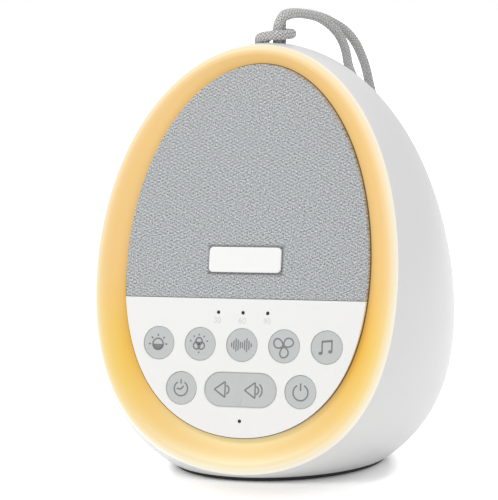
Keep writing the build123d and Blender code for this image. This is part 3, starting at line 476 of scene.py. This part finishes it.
# The arch starts after its one wide gap, which the foot line closes; then the points are spaced evenly
arch = outline[outline[:, 1] > cloth_foot]
arch = np.roll(arch, -int(np.argmax(np.linalg.norm(arch - np.roll(arch, 1, axis=0), axis=1))), axis=0)
foot_line = np.linspace(arch[-1], arch[0], 400)[1:-1]
loop = np.concatenate([arch, foot_line])
run = np.concatenate([[0], np.cumsum(np.linalg.norm(np.diff(loop, axis=0, append=loop[:1]), axis=1))])
even = np.linspace(0, run[-1], 400, endpoint=False)
loop = np.stack([np.interp(even, run, np.append(loop[:, i], loop[0, i])) for i in range(2)], -1)
inward = np.roll(loop, -1, axis=0) - np.roll(loop, 1, axis=0)
inward = np.stack([-inward[:, 1], inward[:, 0]], -1) / np.linalg.norm(inward, axis=1)[:, None]

# The fold as (inset, offset) from the cloth's front over its rounded edge to the hem and back inside
edge_round, hem_middle = 0.00045, 0.0012
bend = np.linspace(math.pi / 2, 0, 6)[:-1]
hem = [*zip(edge_round * (1 - np.cos(bend)), edge_round * (1 - np.sin(bend))),
       (0.0, edge_round), (0.0, hem_middle), (0.0, cloth_hem), (cloth_thickness, cloth_hem),
       (cloth_thickness, hem_middle), (cloth_thickness, cloth_thickness)]
shares = np.linspace(0, 1, 61)[1:-1]


def face_sheet(spots, offset):
    """Points on the face at an offset, for flat spots (x, z)."""
    return np.stack([spots[..., 0], face_y(spots[..., 1], offset), spots[..., 1]], -1)


def cloth_rows(start, offset):
    """Rings of points that shrink evenly from a boundary to the cloth's middle."""
    return [face_sheet(cloth_middle + (start - cloth_middle) * share, offset) for share in shares]


rings = np.stack(cloth_rows(loop + inward * hem[0][0], 0.0)
                 + [face_sheet(loop + inward * inset, offset) for inset, offset in hem]
                 + cloth_rows(loop + inward * cloth_thickness, cloth_thickness)[::-1])
grid, quads = skin(rings.shape[:2])
poles = [[0, face_y(cloth_middle[1], depth), cloth_middle[1]] for depth in (0.0, cloth_thickness)]
fans = [[pole, *pair] for pole, ends, others in (
    (grid.size, grid[0], np.roll(grid[0], -1)), (grid.size + 1, np.roll(grid[-1], -1), grid[-1]))
    for pair in zip(ends, others)]
corners = np.concatenate([rings.reshape(-1, 3), poles])
cloth = solid("stretched_cloth", corners, [*quads[:, [0, 3, 2, 1]], *fans], corners[:, [0, 2]])

melange, tree, shader = finish("grey melange cloth", linear(178, 181, 184), 0.9, Sheen_Weight=0.2,
                               Sheen_Roughness=0.5)
fleck_share, thread_share, rib_share, thread_squeeze, rib_pitch = 0.5, 0.21, 0.04, 2.6, 0.00078
flat = node(tree, "ShaderNodeTexCoord")
flecks = node(tree, "ShaderNodeTexNoise", {"Vector": flat.outputs["UV"]}, Scale=2500.0, Detail=1.5,
              Roughness=0.6)
weave = reckon(tree, "MULTIPLY", flecks.outputs["Fac"], fleck_share)
# Two lays of slanted threads and ribs; a wave texture turns by 20 radians in a unit
for slant in (50.0, -48.0):
    slanted = node(tree, "ShaderNodeMapping", {"Vector": flat.outputs["UV"]},
                   Rotation=(0.0, 0.0, math.radians(slant)), Scale=(1.0, thread_squeeze, 1.0))
    lay = node(tree, "ShaderNodeTexNoise", {"Vector": slanted.outputs["Vector"]}, Scale=1250.0, Detail=2.5,
               Roughness=0.62)
    weave = reckon(tree, "MULTIPLY_ADD", lay.outputs["Fac"], thread_share, weave)
    rib = node(tree, "ShaderNodeTexWave", {"Vector": slanted.outputs["Vector"]}, bands_direction="Y",
               Scale=math.tau / (20 * thread_squeeze * rib_pitch), Distortion=0.8)
    weave = reckon(tree, "MULTIPLY_ADD", rib.outputs["Fac"], rib_share, weave)
tone = ramp(tree, weave, [(0.38, linear(100, 105, 110)), (0.47, linear(162, 166, 169)),
                          (0.53, linear(194, 198, 199)), (0.62, linear(232, 234, 234))])
hues = node(tree, "ShaderNodeTexNoise", {"Vector": flat.outputs["UV"]}, Scale=900.0, Detail=1.0)
tinge = node(tree, "ShaderNodeMix", {6: tone, 7: hues.outputs["Color"]}, data_type="RGBA",
             blend_type="SOFT_LIGHT", Factor=0.12)

# Painted shade close round the name plate: the cloth darkens towards the plate's edge
badge_middle, badge_half_width, badge_half_height = 0.07485, 0.01325, 0.00435
parted = node(tree, "ShaderNodeSeparateXYZ", {"Vector": flat.outputs["UV"]})
aside = reckon(tree, "SUBTRACT", reckon(tree, "ABSOLUTE", parted.outputs["X"]), badge_half_width)
above = reckon(tree, "ABSOLUTE", reckon(tree, "SUBTRACT", parted.outputs["Y"], badge_middle))
above = reckon(tree, "SUBTRACT", above, badge_half_height)
badge_shade = node(tree, "ShaderNodeMapRange", {"Value": reckon(tree, "MAXIMUM", aside, above)},
           interpolation_type="SMOOTHSTEP", From_Min=0.0001, From_Max=0.0012, To_Min=0.5, To_Max=1.0)
shaded = node(tree, "ShaderNodeHueSaturation", {"Color": tinge.outputs[2], "Value": badge_shade.outputs["Result"]})
tree.links.new(shaded.outputs["Color"], shader.inputs["Base Color"])
knit = node(tree, "ShaderNodeBump", {"Height": weave}, Strength=0.8, Distance=0.00025)
tree.links.new(knit.outputs["Normal"], shader.inputs["Normal"])
cloth.data.materials.append(melange)
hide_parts("speaker_cloth")
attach(cloth, "housing")

# ---------------------------------------------------------------- control panel
# White lower half of the front, moulded with a fine matt grain; its pinholes show the
# ends of the light pipes behind them, coloured near black: painted shade for the dark pinholes.
dress(moulded("matt white panel", linear(248, 248, 247), 0.5, grain=0.00003, size=3200.0, drift=0.008),
      "control_panel")
dress(moulded("pinhole shade dark", linear(26, 25, 26), 0.25, drift=0.04), "light_pipes")

# ---------------------------------------------------------------- keys
# Seven round keys and a rocker in soft-touch grey, each with its symbol printed on top
# in a darker grey. The rocker has a low ridge between its two ends.
key_middle = 0.03875
key_tilt = math.asin((key_middle - face_middle_z) / face_radius)
key_out = np.array([0, -math.cos(key_tilt), math.sin(key_tilt)])
key_up = np.array([0, math.sin(key_tilt), math.cos(key_tilt)])
key_recess = 0.0002  # from the front down to the keys' tops


def on_keys(spot, flat_points, rise):
    """Points beside a spot (x, z) of the front, a rise above it, in a plane that has the keys' tilt. A
    spot off the keys' middle lies back by the face arc's sag."""
    climb = (spot[1] - key_middle) / math.cos(key_tilt)
    sag = face_radius - math.sqrt(face_radius ** 2 - climb ** 2)
    sideways = np.array([1, 0, 0])
    origin = np.array([0, face_y(np.array(key_middle)), key_middle]) + spot[0] * sideways + climb * key_up
    return (origin + flat_points[:, :1] * sideways + flat_points[:, 1:] * key_up
            + (np.asarray(rise) - sag) * key_out)


print_height = 0.00004  # above the surface that is printed on
print_sunk = 0.00002  # into that surface


def ink(spot, strokes, fills):
    """Corners and faces of printed lines and filled shapes, all as high as the print. A line is a
    ribbon whose two sides are half a width off the middle line, along its normals."""
    high, low = print_height - key_recess, -print_sunk - key_recess
    corners, faces, total = [], [], 0
    for width, closed, points in strokes:
        points = np.asarray(points, float) / 1000
        way = np.gradient(points, axis=0)
        if closed:
            way = np.roll(points, -1, axis=0) - np.roll(points, 1, axis=0)
        normal = np.stack([-way[:, 1], way[:, 0]], -1) / np.linalg.norm(way, axis=1)[:, None]
        half = normal * width / 2000
        ring = [on_keys(spot, points + side * half, rise)
                for side, rise in ((1, high), (-1, high), (-1, low), (1, low))]
        grid, quads = skin((len(points), 4), closed, total)
        faces += [*quads] if closed else [*quads, grid[0, ::-1], grid[-1]]
        corners.append(np.stack(ring, 1).reshape(-1, 3))
        total += grid.size
    for points in fills:
        points = np.asarray(points, float) / 1000
        count = len(points)
        top = np.arange(count) + total
        corners += [on_keys(spot, points, high), on_keys(spot, points, low)]
        faces += [top, top[::-1] + count,
                  *np.stack([top, top + count, np.roll(top, -1) + count, np.roll(top, -1)], -1)]
        total += 2 * count
    return np.concatenate(corners), faces


def arc(x, y, radius, start=0.0, end=360.0, count=33, squash=1.0):
    """Points on a circle or part of one, angles in degrees; a full one leaves out its last point."""
    angle = np.radians(np.linspace(start, end, count, endpoint=abs(end - start) < 360))
    return np.stack([x + radius * np.cos(angle), y + radius * squash * np.sin(angle)], -1)


def ray(x, y, degrees, near, far):
    """A short straight line that points away from a centre."""
    way = np.array([math.cos(math.radians(degrees)), math.sin(math.radians(degrees))])
    return np.stack([np.array([x, y]) + way * reach for reach in np.linspace(near, far, 3)])


soft_grey = moulded("soft touch key", linear(201, 204, 204), 0.6, grain=0.00003, size=4200.0, drift=0.012,
                    Sheen_Weight=0.08)
ink_grey, _, _ = finish("printed grey", linear(128, 130, 131), 0.6)
# Heights of the two rows of keys and the spacing within each
upper, lower, pitch, lower_pitch = 0.0463, 0.0312, 0.0155, 0.022

# The symbols' points and line widths are in millimetres from each key's middle
line, bar_line, beam_line = 0.5, 0.42, 0.7
bar_spacing, bar_halves = 0.8, (0.8, 1.5, 2.25, 1.8, 1.15, 1.0, 1.7, 2.4, 1.55, 0.7)
blade = np.array([(0.1, 0.1), (-0.4, 1.3), (-0.2, 2.6), (0.8, 3.4), (2.2, 3.3), (3.1, 2.3), (2.7, 1.0),
                  (1.4, 0.2)])


def turned_by(points, degrees, x=0.0, y=0.0):
    """Points turned about the origin, then moved."""
    c, s = math.cos(math.radians(degrees)), math.sin(math.radians(degrees))
    return points @ np.array([[c, s], [-s, c]]) + np.array([x, y])


def softened(points):
    """A closed line with its corners cut twice: each side gives its points at a quarter and at three
    quarters."""
    for _ in range(2):
        after = np.roll(points, -1, axis=0)
        points = np.stack([0.75 * points + 0.25 * after, 0.25 * points + 0.75 * after], 1).reshape(-1, 2)
    return points


def blunted(*tips):
    """A closed line round the tips that softens only there, since each side also has a point near
    either end."""
    tips = np.array(tips)
    after = np.roll(tips, -1, axis=0)
    points = np.stack([tips, 0.85 * tips + 0.15 * after, 0.15 * tips + 0.85 * after], 1)
    return softened(points.reshape(-1, 2))


# For each key: its spot on the front, its lines as (width, closed, points), and its filled shapes
symbols = {
    "light_key": (
        (-2 * pitch, upper),
        [(line, True, arc(-0.4, -0.4, 1.95))]
        + [(line, False, ray(-0.4, -0.4, d, 2.7, 3.5)) for d in (0, 45, 90, 135, 180)],
        [arc(-0.4, -0.4, 1.95, 180, 359.9, 24)]),
    "colour_key": (
        (-pitch, upper),
        [(line, True, arc(x, y, 1.2)) for x, y in ((-0.5, 0.95), (-1.35, -0.6), (0.35, -0.6))]
        + [(line, False, ray(-0.5, -0.1, d, 3.0, 3.6)) for d in (20, 55, 90, 125, 160)],
        [arc(-0.5, -2.9, 0.3, 0, 360, 12)]),
    "noise_key": (
        (0.0, upper),
        [(bar_line, False, [(-3.8 + bar_spacing * i, y) for y in (-half, 0, half)])
         for i, half in enumerate(bar_halves)],
        []),
    "fan_key": (
        (pitch, upper),
        [(line, True, softened(turned_by(blade, d, -0.2, 0.0))) for d in (-20, 100, 220)],
        []),
    "music_key": (
        (2 * pitch, upper),
        [(line, False, [(-1.7, -1.9), (-1.7, 0.0), (-1.7, 2.2)]),
         (line, False, [(1.8, -1.3), (1.8, 0.6), (1.8, 2.6)]),
         (beam_line, False, [(-1.7, 1.95), (0.0, 2.12), (1.8, 2.3)])],
        [arc(-2.25, -2.0, 0.72, 0, 360, 20, 0.8), arc(1.25, -1.4, 0.72, 0, 360, 20, 0.8)]),
    "timer_key": (
        (-lower_pitch, lower),
        [(line, False, arc(-0.2, -0.2, 2.5, 120, 420)),
         (line, False, [(-0.2, 1.5), (-0.2, 2.3), (-0.2, 3.1)]),
         (line, False, [(-1.8, -0.2), (-1.0, -0.3), (-0.2, -0.4)]),
         (line, False, [(-0.2, -0.4), (0.3, 0.15), (0.8, 0.75)])],
        []),
    "power_key": (
        (lower_pitch, lower),
        [(line, False, arc(0.0, -0.2, 2.7, 118, 422)), (line, False, [(0.0, 0.4), (0.0, 1.7), (0.0, 3.0)])],
        []),
    "volume_rocker": (
        (0.0, lower),
        [(line, True, blunted((-9.7, 0.0), (-5.7, 2.7), (-5.7, -2.7))),
         (line, False, arc(-5.8, 0.0, 1.55, -68, 68, 17)),
         (line, True, blunted((1.5, 0.0), (5.4, 2.7), (5.4, -2.7))),
         (line, False, arc(5.2, 0.0, 1.5, -68, 68, 17)),
         (line, False, arc(5.2, 0.0, 2.75, -52, 52, 17))],
        []),
}
for key, (spot, strokes, fills) in symbols.items():
    dress(soft_grey, key)
    symbol = solid(key + "_symbol", *ink(spot, strokes, fills), smooth=False)
    symbol.data.materials.append(ink_grey)
    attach(symbol, key)

# Low rounded ridge across the rocker's middle, moulded in the same grey
ridge_length, ridge_width, ridge_rise, ridge_root = 10.4, 1.4, 0.00006, 0.0004
ridge_box = np.array([(-0.5, -0.5), (0.5, -0.5), (0.5, 0.5), (-0.5, 0.5)]) * (ridge_width, ridge_length)
ridge_edge = softened(ridge_box) / 1000
rows = [on_keys((0.0, lower), ridge_edge * share, level - key_recess)
        for share, level in ((1.0, -ridge_root), (1.0, 0.0), (0.85, 0.6 * ridge_rise), (0.5, ridge_rise))]
grid, quads = skin((len(rows), len(ridge_edge)))
ridge = solid("rocker_ridge", np.concatenate(rows), [*quads, grid[0, ::-1], grid[-1]])
ridge.data.materials.append(soft_grey)
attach(ridge, "volume_rocker")

# ---------------------------------------------------------------- keypad web
# The thin skirt of the silicone keypad closes the gap round each key, just below the
# panel's face, and keeps dust out.
web_depth, web_thickness, web_clear = 0.00042, 0.00012, 0.00004
key_radius, key_gap, rocker_straight, rocker_end, rocker_gap = 0.0057, 0.00015, 0.00735, 0.0058, 0.00035
# A ring is round; the rocker's has its left and right halves moved out to the rocker's ends
web_turn = np.linspace(0, math.tau, 96, endpoint=False)
round_way = np.stack([np.cos(web_turn), np.sin(web_turn)], -1)
to_end = np.sign(np.round(round_way[:, :1], 9)) * np.array([[rocker_straight, 0]])
corners, faces = [], []
for key, (spot, _, _) in symbols.items():
    spine, size, gap = 0, key_radius, key_gap
    if key == "volume_rocker":
        spine, size, gap = to_end, rocker_end, rocker_gap
    rows = [on_keys(spot, spine + round_way * reach, -depth) for reach, depth in (
        (size + web_clear, web_depth), (size + gap, web_depth), (size + gap, web_depth + web_thickness),
        (size + web_clear, web_depth + web_thickness))]
    grid, quads = skin((4, len(web_turn)), closed=True, first=4 * len(web_turn) * len(corners))
    faces += [*quads[:, ::-1]]
    corners.append(np.concatenate(rows))
web = solid("keypad_web", np.concatenate(corners), faces, smooth=False)
web.data.materials.append(moulded("keypad silicone", linear(222, 223, 223), 0.7, drift=0.01))
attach(web, "housing")

# ---------------------------------------------------------------- printed numbers
# The timer's three lamps are marked 30, 60 and 90 in a pale grey ink, printed on the
# panel below their pinholes.
pale_ink, _, _ = finish("pale grey print", linear(226, 225, 225), 0.6)
number_size, number_height = 2.9, 0.0544
for number, x in (("30", -0.0094), ("60", -0.0002), ("90", 0.009)):
    writing = bpy.data.curves.new("number_" + number, "FONT")
    writing.body = number
    writing.size = number_size
    writing.align_x = "CENTER"
    writing.align_y = "CENTER"
    writing.extrude = 0.5
    carrier = bpy.data.objects.new("number_" + number, writing)
    scene.collection.objects.link(carrier)
    bpy.context.view_layer.update()
    mesh = bpy.data.meshes.new_from_object(carrier.evaluated_get(bpy.context.evaluated_depsgraph_get()))
    bpy.data.objects.remove(carrier)
    # The extrusion only tells front corners from back ones, and both then go on the face
    flat_corners = np.array([v.co for v in mesh.vertices])
    high = number_height + flat_corners[:, 1] / 1000
    depth = np.where(flat_corners[:, 2] > 0, -print_height, print_sunk)
    lettering = np.stack([x + flat_corners[:, 0] / 1000, face_y(high, depth), high], -1)
    mesh.vertices.foreach_set("co", lettering.ravel())
    mesh.update()
    piece = bpy.data.objects.new("number_" + number, mesh)
    scene.collection.objects.link(piece)
    piece.data.materials.append(pale_ink)
    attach(piece, "housing")

# ---------------------------------------------------------------- name plate
# A small white plate with rounded corners and nothing on it, held by two pins that go
# through the cloth.
dress(moulded("bare white plate", linear(253, 253, 252), 0.4, drift=0.006, Coat_Weight=0.2,
              Coat_Roughness=0.2), "name_plate")

# ---------------------------------------------------------------- foot and base
# A round charcoal rubber pad that the machine stands on, under a plastic base plate that
# is screwed into the shell and has a tray for the battery.
rubber = moulded("charcoal rubber", linear(54, 54, 56), 0.72, grain=0.00012, size=1500.0, drift=0.06)
dress(rubber, "foot_pad", "speaker_gasket")
dress(moulded("base plastic", linear(236, 236, 235), 0.5), "base_plate")

# ---------------------------------------------------------------- inner mouldings
# The front's carrier and slotted speaker grille in plastic, and the loudspeaker's paper
# cone, rubber surround, cotton spider and copper coil, all hidden by the front.
dress(moulded("grey carrier plastic", linear(200, 201, 202), 0.55), "front_frame")
dress(moulded("black grille plastic", linear(48, 49, 51), 0.6, drift=0.05), "speaker_grille")
dress(moulded("coated paper cone", linear(44, 43, 42), 0.85, grain=0.0002, size=900.0, drift=0.12),
      "speaker_cone", "dust_cap")
dress(moulded("rubber surround", linear(34, 34, 35), 0.65, drift=0.08), "speaker_surround")
dress(moulded("impregnated cotton", linear(196, 158, 86), 0.85, grain=0.0002, size=1400.0, drift=0.1),
      "speaker_spider")
dress(moulded("enamelled copper", linear(186, 104, 62), 0.35, grain=0.00015, size=3800.0, drift=0.1,
              Metallic=0.9), "voice_coil")

# ---------------------------------------------------------------- metal parts
# Turned and pressed steel: screws, strap pin, basket, pole yoke and top plate; the
# magnet is dark sintered ferrite.
dress(moulded("bright steel", linear(196, 197, 200), 0.3, grain=0.00004, size=5200.0, drift=0.05,
              Metallic=1.0),
      "strap_pin", "base_screws", "board_screws", "charge_screws", "driver_screws", "frame_screws",
      "plate_screws")
dress(moulded("blackened steel", linear(62, 63, 66), 0.45, drift=0.06, Metallic=0.7), "speaker_basket",
      "pole_yoke", "top_plate")
dress(moulded("sintered ferrite", linear(52, 50, 50), 0.7, grain=0.0003, size=800.0, drift=0.12),
      "speaker_magnet")

# ---------------------------------------------------------------- electronics
# Boards in green solder resist, black switches, the light strip with its lamps, the
# battery in its foil pouch and the charging socket.
dress(moulded("solder resist", linear(38, 92, 62), 0.35, drift=0.08), "control_board", "charge_board")
dress(moulded("switch body", linear(40, 40, 42), 0.5, drift=0.05), "key_switches")
dress(moulded("flexible strip", linear(232, 230, 222), 0.5), "light_strip")
dress(moulded("lamp lens", linear(246, 224, 150), 0.25, drift=0.03), "ring_lights", "status_lamps")
dress(moulded("battery foil", linear(168, 176, 184), 0.35, grain=0.0002, size=600.0, drift=0.05,
              Metallic=0.6), "battery_pack")
dress(moulded("socket steel", linear(168, 170, 174), 0.32, drift=0.06, Metallic=0.9), "charge_socket")

# ---------------------------------------------------------------- studio
# White table and surround; a broad lamp from the front left, a weaker one on the right
# flank and the even light of a pale room.
floor_half = 3.0
floor_corners = floor_half * np.array([(-1, -1, 0), (1, -1, 0), (1, 1, 0), (-1, 1, 0)])
floor = solid("floor", floor_corners, [(0, 1, 2, 3)])
white_table, tree, shader = finish("white table", (0.88, 0.88, 0.88, 1.0), 0.9)


def seen_directly(tree):
    """1 for rays from the camera, a mirror or a glass, and 0 for the light that bounces about."""
    rays = node(tree, "ShaderNodeLightPath")
    found = rays.outputs["Is Camera Ray"]
    for kind in ("Is Glossy Ray", "Is Transmission Ray"):
        found = reckon(tree, "MAXIMUM", found, rays.outputs[kind])
    return found


# Painted light: away from the foot the table glows pure white for rays seen directly; round the foot
# this light is held back, and the shade left there is drawn in at its sides and reaches towards the camera
shade_middle, shade_unit, shade_narrowing = (0.0065, -0.0155, 0.0), 0.1, 1.35
spread = node(tree, "ShaderNodeMapping", {"Vector": node(tree, "ShaderNodeTexCoord").outputs["Object"]},
              vector_type="TEXTURE", Location=shade_middle, Rotation=(0.0, 0.0, yaw),
              Scale=(shade_unit / shade_narrowing, shade_unit, shade_unit))
spread = node(tree, "ShaderNodeVectorMath", {0: spread.outputs["Vector"]}, operation="LENGTH")
lift = ramp(tree, spread.outputs["Value"], [(spot, (shine, shine, shine, 1.0)) for spot, shine in (
    (0.0, 0.0), (0.33, 0.0), (0.43, 0.12), (0.5, 0.2), (0.6, 0.8), (1.0, 1.0))])
lift = reckon(tree, "MULTIPLY", lift, seen_directly(tree))
shader.inputs["Emission Color"].default_value = (1, 1, 1, 1)
tree.links.new(lift, shader.inputs["Emission Strength"])
floor.data.materials.append(white_table)

scene.world = bpy.data.worlds.new("studio")
scene.world.use_nodes = True
tree = scene.world.node_tree
sky = tree.nodes["Background"]
sky.inputs["Color"].default_value = (1, 1, 1, 1)
strength = node(tree, "ShaderNodeMapRange", {"Value": seen_directly(tree)}, To_Min=0.51, To_Max=1.0)
tree.links.new(strength.outputs["Result"], sky.inputs["Strength"])

aim = np.array([0, 0, 0.08])
for name, spot, size, power in (("front_lamp", (-0.65, -0.95, 1.3), 0.9, 12.0),
                                ("side_lamp", (1.3, -0.1, 0.9), 0.9, 3.4)):
    lamp = bpy.data.lights.new(name, "AREA")
    lamp.shape = "DISK"
    lamp.size = size
    lamp.energy = power
    holder = bpy.data.objects.new(name, lamp)
    turn = Vector(aim - np.array(spot)).to_track_quat("-Z", "Y").to_matrix().to_4x4()
    holder.matrix_world = Matrix.Translation(spot) @ turn
    scene.collection.objects.link(holder)
